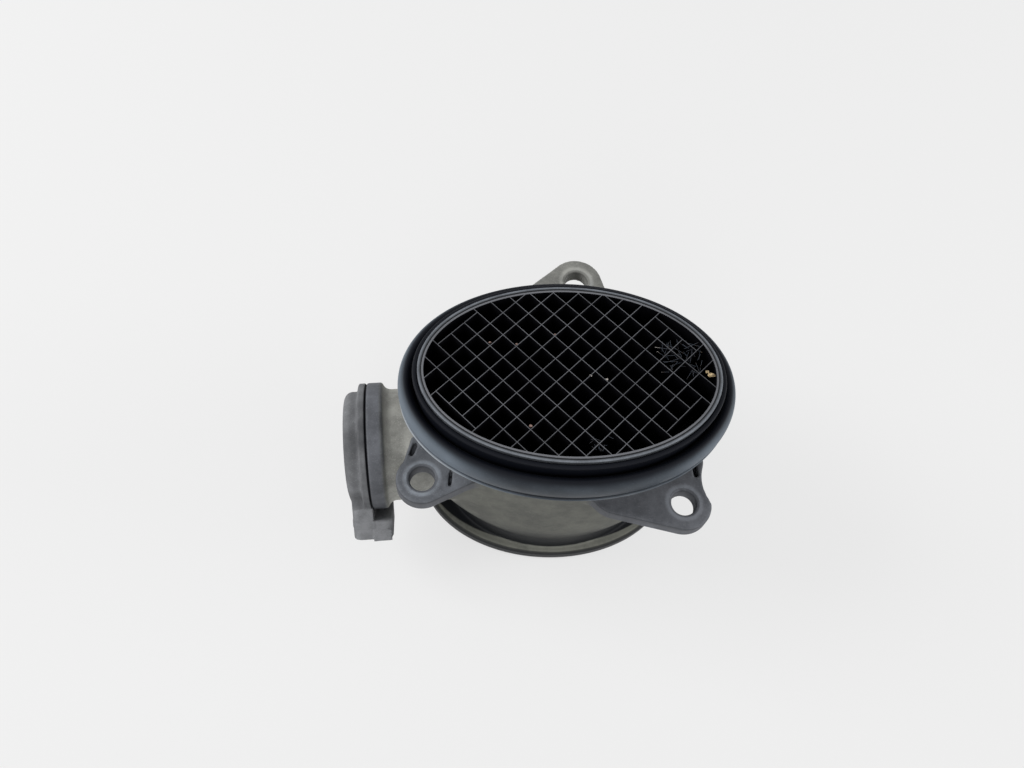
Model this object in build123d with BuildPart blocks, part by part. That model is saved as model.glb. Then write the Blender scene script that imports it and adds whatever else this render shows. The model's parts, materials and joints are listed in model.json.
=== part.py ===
"""Mass airflow sensor.

An oval duct stands on its outlet rim. A lattice grid and a rubber bead seal close its upper,
inlet end, three ears carry it on the air filter box, and a sensing module plugs into a round
boss on its left side. The origin is the centre of the outlet face, +Z runs up the duct
towards the inlet, and X follows the oval's long axis. Lengths are in millimetres.
"""

import os
from math import cos, pi, radians, sin

from build123d import *

os.makedirs("parts", exist_ok=True)

# ---------------------------------------------------------------- driving dimensions
# Duct
duct_height = 75.0  # outlet face to the top of the grid
inlet_long = 39.5  # half axes of the oval inlet
inlet_short = 25.0
outlet_long = 31.6  # half axes of the outlet, which is a little rounder
outlet_short = 24.4
duct_wall = 2.7
oval_arcs = 12  # arcs that make up each oval
taper_low = 4.0  # the duct narrows between these two heights
taper_high = 28.0
taper_steps = 4
rim_long = 41.75  # half axes of the flange round the outlet
rim_short = 29.3
rim_thick = 5.0

# Collar and the shoulder that the seal sits on
collar_wall = 1.1  # collar thickness outside the grid's frame
shoulder_drop = 13.0  # grid top to the shoulder's face
shoulder_thick = 3.5
shoulder_reach = 4.2  # from the edge of the inlet opening

# Ears: place of each screw as radius and angle
ear_drop = 22.0  # grid top to the ears' bolt faces
ear_thick = 5.0
ear_radius = 8.1
ear_edge = 0.5
ear_root = 8.0  # half width of an ear at the duct
ear_inset = 17.8  # from the screw hole to the ear's root
ear_places = {"left": (45.7, -150.0), "right": (43.8, -41.2), "rear": (44.3, 82.4)}
ear_web = (43.5, -165.0)  # where the left ear's outer edge meets the boss
scallop_place = (54.1, -19.4)  # hollow in the right ear's outer edge
scallop_radius = 12.0
head_radius = 6.5  # seat for the screw's head under an ear
gusset_depth = 15.0
gusset_step = 11.0  # how far the gusset's foot lies inside the ear's end
gusset_foot = 4.0
screw_radius = 3.5
screw_lead = 0.6  # bevel round the upper end of a screw hole

# Grid, a frame with a lattice inside it
grid_pitch = 5.0
grid_bar = 0.45
grid_depth = 12.0
grid_shift = -0.6  # the lattice's middle crossing, along the long axis
grid_cells = 6  # cells from the middle to the outermost bar
grid_stub = 4  # crossings an outermost bar spans beyond the long axis
frame_wall = 0.6

# Seal: a sleeve round the collar, a web on the shoulder and a hollow-backed bulb outside
seal_gap = 0.1
seal_sleeve = 0.8
sleeve_drop = 1.0  # grid top to the sleeve's upper end
seal_web = 2.4  # height of the web between sleeve and bulb
bulb_reach = 7.25  # outermost point, from the edge of the inlet opening
bulb_half_width = 2.2
bulb_top_drop = 4.4  # grid top to the bulb's crest
bulb_foot = 0.6  # how far the bulb hangs below the shoulder's face
bulb_steps = 4

# Boss and module, round an axis turned a little from the oval's long axis
module_turn = 5.0
module_height = 33.5
boss_outer = 16.8
flange_radius = 19.0
flange_thick = 4.6
joint_reach = 56.7  # from the duct's axis to the face where the module meets the housing
boss_floor = 44.0  # from the duct's axis to the inner end of the boss's bore
boss_bore = 12.6
case_flange = 2.2
dome_radius = 16.6
dome_depth = 4.6
dome_bevel = 2.0
case_wall = 1.6

# Connector, which points down and forwards from the module
plug_angle = 45.0
plug_width = 11.8
plug_tall = 16.0
plug_length = 26.0  # from the module's axis to the mouth
plug_offset = 3.0
plug_round = 2.4
plug_wall = 1.7
plug_slot_end = 19.8  # gap for the rim of the housing's flange
socket_depth = 5.2
latch_width = 5.4
latch_rise = 1.2
latch_length = 3.2
latch_shift = 2.8  # from the connector's middle, away from the dome
dome_step = 0.6  # dome's face above the connector's

# Terminals
pin_count = 5
pin_pitch = 2.5
pin_wide = 1.3
pin_thick = 0.7
pin_reach = 4.2  # from the socket's floor
pin_inner = 5.5  # from the module's axis to the inner ends

# Circuit board, on posts above the probe's plug and turned to face the connector
board_thick = 1.2
board_long = 18.0
board_wide = 14.0
board_back = 1.0  # board's middle, from the module's axis away from the connector
post_height = 1.8
post_radius = 1.0
post_long = 8.0  # spacing of the posts
post_wide = 9.0
plug_gap = 0.05  # round the probe's plug, in the boss
post_back = 4.0
chip_size = 7.0
chip_thick = 1.3
chip_back = 4.5
can_radius = 1.5
can_height = 1.2
can_forward = 3.0
can_pitch = 6.0

# Probe in the air stream
probe_plug = 5.5  # length of the round plug in the boss
probe_thick = 8.0
probe_deep = 18.0
probe_tip = 8.0  # from the duct's axis
probe_round = 3.0
probe_gap = 0.3
slot_length = 14.0
slot_width = 4.2
slot_end = 4.0
element_length = 9.0
element_height = 3.0
element_thick = 0.5
element_spread = 7.0
element_clear = 1.5  # from the slot's root
lead_wide = 0.8
lead_thick = 0.4
lead_pitch = 2.0
lead_lap = 1.2  # length soldered to an element
ring_thick = 1.2
ring_width = 1.6

# ---------------------------------------------------------------- derived places
collar_edge = frame_wall + collar_wall
shoulder_z = duct_height - shoulder_drop
ear_z = duct_height - ear_drop
case_top = joint_reach + case_flange + dome_depth
case_bore = dome_radius - case_wall
plug_mid = case_top - dome_step - plug_width / 2
plug_row = plug_offset  # line of the terminals and the board's middle
plug_back = joint_reach - probe_plug
board_face = joint_reach + post_height
slot_root = probe_tip + slot_end + slot_length
element_root = slot_root - element_clear


def oval(long_half, short_half):
    """Face bounded by an oval: circular arcs, each through three points of the ellipse."""

    def on_oval(step):
        angle = 2 * pi * step / oval_arcs
        return (long_half * cos(angle), short_half * sin(angle))

    with BuildSketch() as face:
        with BuildLine():
            for k in range(oval_arcs):
                ThreePointArc(on_oval(k - 0.5), on_oval(k), on_oval(k + 0.5))
        make_face()
    return face.sketch


def passage(height):
    """Half axes of the air passage at a height: a smooth step from outlet to inlet."""
    t = min(max((height - taper_low) / (taper_high - taper_low), 0.0), 1.0)
    step = t * t * (3 - 2 * t)
    return (
        outlet_long + (inlet_long - outlet_long) * step,
        outlet_short + (inlet_short - outlet_short) * step,
    )


def oval_stack(levels):
    """Solid skinned over level ovals, each a height with its two half axes."""
    with BuildPart() as stack:
        for height, long_half, short_half in levels:
            with BuildSketch(Plane.XY.offset(height)):
                add(oval(long_half, short_half))
        loft(ruled=True)
    return stack.part


def oval_band(top, bottom, outer, inner):
    """Ring between two heights; outer and inner are distances from the edge of the inlet."""
    with BuildPart() as band:
        with BuildSketch(Plane.XY.offset(bottom)):
            add(oval(inlet_long + outer, inlet_short + outer))
            add(oval(inlet_long + inner, inlet_short + inner), mode=Mode.SUBTRACT)
        extrude(amount=top - bottom)
    return band.part


def duct(extra):
    """Solid of the passage, or of the passage grown by a wall, from outlet to inlet."""
    rise = (taper_high - taper_low) / taper_steps
    heights = [taper_low + rise * k for k in range(taper_steps + 1)]
    with BuildPart() as tube:
        with BuildSketch():
            add(oval(outlet_long + extra, outlet_short + extra))
        extrude(amount=taper_low)
        add(oval_stack([(h, passage(h)[0] + extra, passage(h)[1] + extra) for h in heights]))
        with BuildSketch(Plane.XY.offset(taper_high)):
            add(oval(inlet_long + extra, inlet_short + extra))
        extrude(amount=duct_height - taper_high)
    return tube.part


def on_bolt_face(radius, angle):
    """A point of the ears' bolt face from its radius and angle round the duct."""
    return (radius * cos(radians(angle)), radius * sin(radians(angle)))


def module_at(reach):
    """Plane square to the module's axis, at a reach from the duct's axis: x forwards, y up."""
    turn = radians(module_turn)
    outward = Vector(-cos(turn), -sin(turn), 0)
    lifted = outward * reach + Vector(0, 0, module_height)
    return Plane(origin=lifted, x_dir=(sin(turn), -cos(turn), 0), z_dir=outward)


def case_at(reach):
    """The module's plane turned in itself: x along the connector, y through its upper face."""
    base = module_at(reach)
    along = base.x_dir * cos(radians(plug_angle)) - base.y_dir * sin(radians(plug_angle))
    return Plane(origin=base.origin, x_dir=along, z_dir=base.z_dir)


def plug_at(length):
    """Plane square to the connector: x towards the duct, y through its upper face."""
    base = case_at(plug_mid)
    return Plane(origin=base.origin + base.x_dir * length, x_dir=-base.z_dir, z_dir=base.x_dir)


# ---------------------------------------------------------------- flow housing
def ear_outline(name):
    """Outline of an ear: round about its screw hole, drawn in to the duct."""
    radius, angle = ear_places[name]
    with BuildSketch() as pad:
        with Locations(on_bolt_face(radius, angle)):
            Circle(ear_radius)
        root = Location((*on_bolt_face(radius - ear_inset, angle), 0), (0, 0, angle))
        with Locations(root):
            Rectangle(1, 2 * ear_root)
        if name == "left":
            with Locations(on_bolt_face(*ear_web)):
                Circle(1)
        make_hull()
        if name == "right":
            with Locations(on_bolt_face(*scallop_place)):
                Circle(scallop_radius, mode=Mode.SUBTRACT)
    return pad.sketch


def gusset_outline(name, reach, step):
    """Section of an ear's gusset: a round nose drawn in to the duct."""
    radius, angle = ear_places[name]
    with BuildSketch() as section:
        with Locations(on_bolt_face(radius - step, angle)):
            Circle(reach)
        root = Location((*on_bolt_face(radius - ear_inset, angle), 0), (0, 0, angle))
        with Locations(root):
            Rectangle(1, 2 * (ear_root - ear_edge))
        make_hull()
    return section.sketch


with BuildPart() as rim:
    with BuildSketch():
        add(oval(rim_long, rim_short))
    extrude(amount=rim_thick)

with BuildPart() as flow_housing:
    # duct wall up to the shoulder, then the collar
    add(duct(duct_wall))
    add(oval_band(duct_height, shoulder_z, 2 * inlet_long, collar_edge), mode=Mode.SUBTRACT)
    add(oval_band(shoulder_z, shoulder_z - shoulder_thick, shoulder_reach, 0))
    add(rim.part)

    # ears with their gussets
    for name in ear_places:
        with BuildSketch(Plane.XY.offset(ear_z)):
            add(ear_outline(name))
        extrude(amount=-ear_thick)
        with BuildSketch(Plane.XY.offset(ear_z - ear_thick)):
            add(gusset_outline(name, ear_radius - ear_edge, 0))
        with BuildSketch(Plane.XY.offset(ear_z - ear_thick - gusset_depth)):
            add(gusset_outline(name, gusset_foot, gusset_step))
        loft()

    # boss and flange for the module
    with BuildSketch(module_at(joint_reach)):
        Circle(flange_radius)
    extrude(amount=-flange_thick)
    with BuildSketch(module_at(joint_reach)):
        Circle(boss_outer)
    extrude(amount=outlet_long - duct_wall - joint_reach)

    # air passage, and the seat for the grid in the collar's end
    add(duct(0), mode=Mode.SUBTRACT)
    add(oval_band(duct_height, duct_height - grid_depth, frame_wall, -1), mode=Mode.SUBTRACT)

    # bore for the probe's plug and window into the duct
    with BuildSketch(module_at(joint_reach)):
        Circle(boss_bore)
    extrude(amount=boss_floor - joint_reach, mode=Mode.SUBTRACT)
    with BuildSketch(module_at(joint_reach)):
        Rectangle(probe_thick + 2 * probe_gap, probe_deep + 2 * probe_gap)
    extrude(amount=inlet_long / 2 - joint_reach, mode=Mode.SUBTRACT)

    # screw holes, with flat seats for the screws' heads under the ears
    for place in ear_places.values():
        with BuildSketch(Plane.XY.offset(ear_z)):
            with Locations(on_bolt_face(*place)):
                Circle(screw_radius)
        extrude(amount=-ear_thick, mode=Mode.SUBTRACT)
        with BuildSketch(Plane.XY.offset(ear_z - ear_thick)):
            with Locations(on_bolt_face(*place)):
                Circle(head_radius)
        extrude(amount=-gusset_depth, mode=Mode.SUBTRACT)
    holes = flow_housing.edges().filter_by(GeomType.CIRCLE).filter_by(lambda e: e.radius == screw_radius)
    chamfer(holes.filter_by_position(Axis.Z, ear_z, ear_z), screw_lead)
flow_housing.part.label = "flow_housing"
export_step(flow_housing.part, "parts/flow_housing.step")


# ---------------------------------------------------------------- inlet grid
def bar_ends(row):
    """Where a bar stops, in cells from the middle: outermost bars end on the crossings they share."""
    if abs(row) < grid_cells:
        return (-2 * grid_cells, 2 * grid_cells)
    return (1, grid_stub) if row > 0 else (-grid_stub, -1)


with BuildPart() as inlet_grid:
    # frame, let into the end of the collar
    add(oval_band(duct_height, duct_height - grid_depth, frame_wall, 0))
    # lattice of bars at 45 degrees to the oval
    with BuildSketch(Plane.XY.offset(duct_height)):
        for turn in (45, -45):
            for row in range(-grid_cells, grid_cells + 1):
                start, stop = bar_ends(row)
                middle = Location((grid_shift, 0, 0), (0, 0, turn))
                with Locations(middle * Location(((start + stop) / 2 * grid_pitch, row * grid_pitch, 0))):
                    Rectangle((stop - start) * grid_pitch + grid_bar, grid_bar)
        add(oval(inlet_long + frame_wall / 2, inlet_short + frame_wall / 2), mode=Mode.INTERSECT)
    extrude(amount=-grid_depth)
inlet_grid.part.label = "inlet_grid"
export_step(inlet_grid.part, "parts/inlet_grid.step")


# ---------------------------------------------------------------- inlet seal
sleeve_in = collar_edge + seal_gap
sleeve_out = sleeve_in + seal_sleeve
sleeve_top = duct_height - sleeve_drop
bulb_crest = duct_height - bulb_top_drop
bulb_bottom = shoulder_z - bulb_foot
bulb_axis = bulb_reach - bulb_half_width


def bulb_half(side):
    """Solid bounded by one flank of the bulb; side is 1 outside and -1 inside."""
    levels = []
    for k in range(bulb_steps + 1):
        angle = radians(180 * k / bulb_steps - 90)
        flank = bulb_axis + side * bulb_half_width * cos(angle)
        height = (bulb_crest + bulb_bottom) / 2 + (bulb_crest - bulb_bottom) / 2 * sin(angle)
        levels.append((height, inlet_long + flank, inlet_short + flank))
    return oval_stack(levels)


with BuildPart() as inlet_seal:
    add(bulb_half(1))
    add(bulb_half(-1), mode=Mode.SUBTRACT)
    # web from the bulb to the sleeve, on top of the shoulder
    add(oval_band(shoulder_z + seal_web, shoulder_z, bulb_axis, sleeve_in))
    # sleeve that grips the collar
    add(oval_band(sleeve_top, shoulder_z, sleeve_out, sleeve_in))
inlet_seal.part.label = "inlet_seal"
export_step(inlet_seal.part, "parts/inlet_seal.step")


# ---------------------------------------------------------------- sensor case
with BuildPart() as sensor_case:
    # round flange and domed cover
    with BuildSketch(case_at(joint_reach)):
        Circle(flange_radius)
    extrude(amount=case_flange)
    with BuildSketch(case_at(joint_reach + case_flange)):
        Circle(dome_radius)
    extrude(amount=dome_depth - dome_bevel)
    for reach, radius in ((case_top - dome_bevel, dome_radius), (case_top, dome_radius - dome_bevel)):
        with BuildSketch(case_at(reach)):
            Circle(radius)
    loft(ruled=True)

    # connector: behind the slot it reaches back beside the housing's flange
    with BuildSketch(plug_at(plug_slot_end)):
        with Locations((0, plug_offset)):
            RectangleRounded(plug_width, plug_tall, plug_round)
    extrude(amount=plug_length - plug_slot_end)
    with BuildSketch(plug_at(plug_slot_end)):
        with Locations((0, plug_offset)):
            RectangleRounded(plug_width, plug_tall, plug_round)
        with Locations((plug_mid - joint_reach, plug_offset)):
            Rectangle(plug_width, 2 * plug_tall, align=(Align.MIN, Align.CENTER), mode=Mode.SUBTRACT)
    extrude(amount=case_bore / 2 - plug_slot_end)

    # latch wedge on the upper face, beside the mouth
    with BuildSketch(case_at(plug_mid - latch_shift - latch_width / 2)):
        with BuildLine():
            Polyline(
                (plug_length - latch_length, plug_offset + plug_tall / 2 - 1),
                (plug_length - latch_length, plug_offset + plug_tall / 2),
                (plug_length - 1, plug_offset + plug_tall / 2 + latch_rise),
                (plug_length, plug_offset + plug_tall / 2 + latch_rise),
                (plug_length, plug_offset + plug_tall / 2 - 1),
                close=True,
            )
        make_face()
    extrude(amount=latch_width)

    # room for the board, and the connector's socket
    with BuildSketch(case_at(joint_reach)):
        Circle(case_bore)
    extrude(amount=case_flange + dome_depth - case_wall, mode=Mode.SUBTRACT)
    with BuildSketch(plug_at(plug_length)):
        with Locations((0, plug_offset)):
            RectangleRounded(plug_width - 2 * plug_wall, plug_tall - 2 * plug_wall, plug_round - plug_wall / 2)
    extrude(amount=-socket_depth, mode=Mode.SUBTRACT)

    # channels of the terminals through the wall between the two
    with BuildSketch(plug_at(case_bore / 2)):
        with Locations((plug_mid - board_face + pin_thick / 2, plug_row)):
            with GridLocations(0, pin_pitch, 1, pin_count):
                Rectangle(pin_thick, pin_wide)
    extrude(amount=plug_length - socket_depth - case_bore / 2, mode=Mode.SUBTRACT)
sensor_case.part.label = "sensor_case"
export_step(sensor_case.part, "parts/sensor_case.step")


# ---------------------------------------------------------------- terminals
for number in range(pin_count):
    row_place = plug_row + (number - (pin_count - 1) / 2) * pin_pitch
    with BuildPart() as terminal:
        with BuildSketch(plug_at(pin_inner)):
            with Locations((plug_mid - board_face + pin_thick / 2, row_place)):
                Rectangle(pin_thick, pin_wide)
        extrude(amount=plug_length - socket_depth + pin_reach - pin_inner)
        tip = terminal.faces().sort_by(Axis(plug_at(0).origin, plug_at(0).z_dir))[-1]
        chamfer(tip.edges(), pin_thick / 4)
    terminal.part.label = f"terminal_{number + 1}"
    export_step(terminal.part, f"parts/terminal_{number + 1}.step")


# ---------------------------------------------------------------- sensor probe
lead_rows = [
    spread * element_spread / 2 + side * lead_pitch / 2 for spread in (-1, 1) for side in (-1, 1)
]
lead_inner = element_root - lead_lap
lead_x = (element_thick + lead_thick) / 2

with BuildPart() as sensor_probe:
    # round plug and the finger
    with BuildSketch(module_at(plug_back)):
        Circle(boss_bore - plug_gap)
    extrude(amount=probe_plug)
    with BuildSketch(module_at(plug_back)):
        RectangleRounded(probe_thick, probe_deep, probe_round)
    extrude(amount=probe_tip - plug_back)

    # groove for the ring
    with BuildSketch(module_at(plug_back + (probe_plug + ring_width) / 2)):
        Circle(boss_bore)
        Circle(boss_bore - ring_thick, mode=Mode.SUBTRACT)
    extrude(amount=-ring_width, mode=Mode.SUBTRACT)

    # measuring slot, open to the air stream
    across = module_at(slot_root - slot_length / 2)
    with BuildSketch(Plane(origin=across.origin, x_dir=across.x_dir, z_dir=across.y_dir)):
        Rectangle(slot_width, slot_length)
    extrude(amount=probe_deep, both=True, mode=Mode.SUBTRACT)

    # posts under the board
    with BuildSketch(case_at(joint_reach)):
        with Locations((-post_back, plug_row)):
            for side in (-1, 1):
                with Locations((side * post_long / 2, side * post_wide / 2)):
                    Circle(post_radius)
    extrude(amount=post_height)

    # channels of the leads
    for row in lead_rows:
        with BuildSketch(module_at(slot_root)):
            with Locations((lead_x, row)):
                Rectangle(lead_thick, lead_wide)
        extrude(amount=joint_reach - slot_root, mode=Mode.SUBTRACT)
sensor_probe.part.label = "sensor_probe"
export_step(sensor_probe.part, "parts/sensor_probe.step")

with BuildPart() as probe_ring:
    with BuildSketch(module_at(plug_back + (probe_plug + ring_width) / 2)):
        Circle(boss_bore)
        Circle(boss_bore - ring_thick, mode=Mode.SUBTRACT)
    extrude(amount=-ring_width)
probe_ring.part.label = "probe_ring"
export_step(probe_ring.part, "parts/probe_ring.step")

for number, row in enumerate(lead_rows, 1):
    with BuildPart() as lead:
        with BuildSketch(module_at(lead_inner)):
            with Locations((lead_x, row)):
                Rectangle(lead_thick, lead_wide)
        extrude(amount=board_face - lead_inner)
    lead.part.label = f"sensor_lead_{number}"
    export_step(lead.part, f"parts/sensor_lead_{number}.step")

for name, side in (("heater_element", 1), ("temperature_element", -1)):
    with BuildPart() as element:
        with BuildSketch(module_at(element_root)):
            with Locations((0, side * element_spread / 2)):
                Rectangle(element_thick, element_height)
        extrude(amount=-element_length)
    element.part.label = name
    export_step(element.part, f"parts/{name}.step")


# ---------------------------------------------------------------- circuit board
with BuildPart() as circuit_board:
    with BuildSketch(case_at(board_face)):
        with Locations((-board_back, plug_row)):
            Rectangle(board_long, board_wide)
    extrude(amount=board_thick)
circuit_board.part.label = "circuit_board"
export_step(circuit_board.part, "parts/circuit_board.step")

with BuildPart() as signal_chip:
    with BuildSketch(case_at(board_face + board_thick)):
        with Locations((-chip_back, plug_row)):
            Rectangle(chip_size, chip_size)
    extrude(amount=chip_thick)
    chamfer(signal_chip.faces().sort_by(Axis(case_at(0).origin, case_at(0).z_dir))[-1].edges(), 0.2)
signal_chip.part.label = "signal_chip"
export_step(signal_chip.part, "parts/signal_chip.step")

for number, side in ((1, -1), (2, 1)):
    with BuildPart() as capacitor:
        with BuildSketch(case_at(board_face + board_thick)):
            with Locations((can_forward, plug_row + side * can_pitch / 2)):
                Circle(can_radius)
        extrude(amount=can_height)
    capacitor.part.label = f"capacitor_{number}"
    export_step(capacitor.part, f"parts/capacitor_{number}.step")
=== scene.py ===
# %% [markdown]
# # A mass airflow sensor, dressed for its picture
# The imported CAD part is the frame: its sizes and places are fixed. This notebook gives every node
# a finish, and stands finer skins in place of the nodes whose roundings matter most.

# %% Load the frame
from math import cos, pi, radians, sin

import bpy
import numpy as np
from mathutils import Matrix, Vector
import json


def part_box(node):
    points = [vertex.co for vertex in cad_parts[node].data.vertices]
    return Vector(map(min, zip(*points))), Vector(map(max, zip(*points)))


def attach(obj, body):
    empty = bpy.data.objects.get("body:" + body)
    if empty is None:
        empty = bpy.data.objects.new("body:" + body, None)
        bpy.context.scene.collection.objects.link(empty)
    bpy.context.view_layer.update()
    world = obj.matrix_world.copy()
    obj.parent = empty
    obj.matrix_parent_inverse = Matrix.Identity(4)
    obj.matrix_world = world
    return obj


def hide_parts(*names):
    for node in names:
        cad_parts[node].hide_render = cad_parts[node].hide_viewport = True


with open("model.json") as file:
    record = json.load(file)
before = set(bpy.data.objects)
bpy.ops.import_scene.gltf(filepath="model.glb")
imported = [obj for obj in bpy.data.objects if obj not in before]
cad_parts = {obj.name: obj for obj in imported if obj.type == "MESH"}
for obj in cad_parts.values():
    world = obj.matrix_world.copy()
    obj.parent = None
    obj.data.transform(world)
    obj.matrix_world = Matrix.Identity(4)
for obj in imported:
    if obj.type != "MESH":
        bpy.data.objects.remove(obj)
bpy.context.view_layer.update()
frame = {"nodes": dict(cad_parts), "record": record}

print("nodes in the frame:", len(frame["nodes"]))

# %% [markdown]
# ## Places taken from the frame
# Sizes are worked out in millimetres, some from the boxes of the CAD nodes and from the screw mounts
# of the record. What no box gives, such as the thickness of a wall, is given as a number.

# %% Places taken from the frame
MM = 0.001


def box_mm(node):
    """Lowest and highest corner of a CAD node, in millimetres."""
    low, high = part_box(node)
    return np.array(low) / MM, np.array(high) / MM


def mount_place(name):
    """A mount's place in millimetres, from the record."""
    found = [m for m in frame["record"]["mounts"] if m["name"] == name][0]
    return np.array(found["pos_m"]) / MM


grid_high = box_mm("inlet_grid")[1]
seal_low, seal_high = box_mm("inlet_seal")
house_low, house_high = box_mm("flow_housing")
case_low, case_high = box_mm("sensor_case")

top = grid_high[2]
collar_edge = 1.7
frame_wall = 0.6
inlet = grid_high[:2] - frame_wall
outlet = np.array([31.6, 24.4])
wall = 2.7
rim = np.array([41.75, 29.3])
rim_height = 5.0
shoulder_top = seal_low[2] + 0.6
ear_top = top - 22.0
ear_under = ear_top - 5.0
screws = {name: mount_place("screw_" + name) for name in ("left", "right", "rear")}
print("inlet half axes", inlet.round(2), "top", round(top, 2), "ears at", round(ear_top, 2))

# %% [markdown]
# ## The module's own directions
# The sensing module stands out of the housing's side, turned five degrees from it. Formulas in x
# and y would carry that turn everywhere. With two directions of the module's own, a point's place
# on it is a dot product: how far out it lies, and how far to the side.

# %% The module's own directions
turn = radians(5)
module_out = np.array([-cos(turn), -sin(turn), 0.0])
module_forward = np.array([sin(turn), -cos(turn), 0.0])
module_height = 33.5
joint = 56.7
boss_radius = 16.8
flange_radius = 19.0
flange_depth = 4.6


def from_module(points):
    """How far points lie out, to the side, above and away from the module's axis."""
    reach = points @ module_out
    side = points @ module_forward
    up = points[..., 2] - module_height
    return reach, side, up, np.hypot(side, up)


print("the module points along", module_out.round(3))

# %% [markdown]
# ## Rounded solids as distance fields
# A moulded housing has no sharp inner corner anywhere: walls, ears and boss flow into each other.
# That could be drawn with hundreds of fillets, or beveled by hand. Here each simple solid is a
# function that gives the distance from any point to its surface, negative inside. Two such fields
# are joined with a fillet by one formula, and the skin is then laid where the sum is zero.


# %% Joining and cutting with a fillet
def joined(a, b, radius):
    """Union with a round fillet: where both distances are under the radius, a quarter circle."""
    u = np.maximum(radius - a, 0)
    v = np.maximum(radius - b, 0)
    return np.maximum(radius, np.minimum(a, b)) - np.sqrt(u * u + v * v)


def shared(a, b, radius):
    """What both solids share, its edge rounded: the union with inside and outside swapped."""
    return -joined(-a, -b, radius)


def cut(a, b, radius):
    """Solid a without solid b, the rim of the cut rounded."""
    return shared(a, -b, radius)


print("two walls joined with a 2 mm fillet, in their corner:", round(float(joined(0.0, 0.0, 2.0)), 3))

# %% [markdown]
# ## Simple solids
# Four shapes are enough for the whole sensor: an oval tube, a slab between two heights, a block
# with round corners, and a tapering bar. Each could be a mesh of its own, but as a distance it
# costs one line and can be joined or cut without a seam.


# %% Simple solids
def oval(x, y, long_half, short_half):
    """Distance to an ellipse, good near its outline: k0 (k0 - 1) / k1.

    k0 is the length of (x/a, y/b) and k1 the length of (x/a squared, y/b squared).
    """
    k0 = np.hypot(x / long_half, y / short_half)
    k1 = np.hypot(x / long_half**2, y / short_half**2)
    return k0 * (k0 - 1) / np.maximum(k1, 1e-6)


def level(z, low, high):
    """Distance to the slab between two heights."""
    return np.maximum(low - z, z - high)


def rounded_block(u, v, half_u, half_v, radius):
    """Rectangle with round corners: distance outside the inner rectangle, less the radius."""
    a = np.abs(u) - half_u + radius
    b = np.abs(v) - half_v + radius
    return np.hypot(np.maximum(a, 0), np.maximum(b, 0)) + np.minimum(np.maximum(a, b), 0) - radius


def bar(x, y, start, end, start_radius, end_radius):
    """Tapering bar seen from above: distance to its middle line, less the radius at that place."""
    ax, ay = end[0] - start[0], end[1] - start[1]
    t = np.clip(((x - start[0]) * ax + (y - start[1]) * ay) / (ax * ax + ay * ay), 0, 1)
    away = np.hypot(x - start[0] - t * ax, y - start[1] - t * ay)
    return away - start_radius - (end_radius - start_radius) * t


print("1 mm outside an oval of 10 by 5:", round(float(oval(11.0, 0.0, 10.0, 5.0)), 3))

# %% [markdown]
# ## From a field to a skin
# Marching cubes would do, but it leaves slivers. Surface nets give even quads: every grid cell
# that the surface passes through gets one vertex, at the middle of the places where its edges are
# crossed, and every crossed grid edge joins four of them in a quad.

# %% Cells and quads of a skin
corners = [(i, j, k) for i in (0, 1) for j in (0, 1) for k in (0, 1)]
windings = {True: ((0, 0), (1, 0), (1, 1), (0, 1)), False: ((0, 0), (0, 1), (1, 1), (1, 0))}


def crossed_cells(inside):
    """Cells with both signs among their corners, and an array that numbers them."""
    n = np.array(inside.shape) - 1
    block = [inside[i:i + n[0], j:j + n[1], k:k + n[2]] for i, j, k in corners]
    crossed = np.any(block, axis=0) & ~np.all(block, axis=0)
    number = np.full(crossed.shape, -1)
    cells = np.argwhere(crossed)
    number[crossed] = np.arange(len(cells))
    return cells, number


def crossing_means(value, cells, cell):
    """A place for each cell, from the grid's first corner: the mean of its edges' crossings."""
    total = np.zeros((len(cells), 3))
    hits = np.zeros(len(cells))
    for axis in range(3):
        for corner in corners:
            if corner[axis]:
                continue
            start = cells + corner
            end = start + np.eye(3, dtype=int)[axis]
            a = value[tuple(start.T)]
            b = value[tuple(end.T)]
            cross = (a < 0) != (b < 0)
            t = np.where(cross, a / np.where(a == b, 1, a - b), 0)
            total += np.where(cross[:, None], start + t[:, None] * np.eye(3)[axis], 0)
            hits += cross
    return cell * total / hits[:, None]


def crossing_quads(inside, number):
    """A quad round each crossed grid edge, wound so that it faces outwards."""
    quads = []
    for axis in range(3):
        u, v = (axis + 1) % 3, (axis + 2) % 3
        before = inside[tuple(slice(0, -1) if k == axis else slice(1, -1) for k in range(3))]
        after = inside[tuple(slice(1, None) if k == axis else slice(1, -1) for k in range(3))]
        for sign, winding in windings.items():
            edges = np.argwhere((before != after) & (before == sign))
            base = edges + [0 if k == axis else 1 for k in range(3)]
            ring = []
            for du, dv in winding:
                place = base.copy()
                place[:, u] += du - 1
                place[:, v] += dv - 1
                ring.append(number[tuple(place.T)])
            quads.append(np.stack(ring, -1))
    return np.concatenate(quads)


print("a cell has", len(corners), "corners")

# %% [markdown]
# ## Pulling the skin tight
# The net alone is a little wavy. Three Newton steps pull each vertex onto the true surface, and
# the field's slope there is its normal, so that even wide facets shade as the smooth form.

# %% Pulling the skin tight
newton_steps = 3
least_slope_squared = 0.2
normal_step = 0.05


def slope(field, points, step=0.02):
    """The field's slope at points, by central differences."""
    parts = []
    for axis in range(3):
        shift = np.zeros(3)
        shift[axis] = step
        parts.append(field(points + shift) - field(points - shift))
    return np.stack(parts, -1) / (2 * step)


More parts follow.
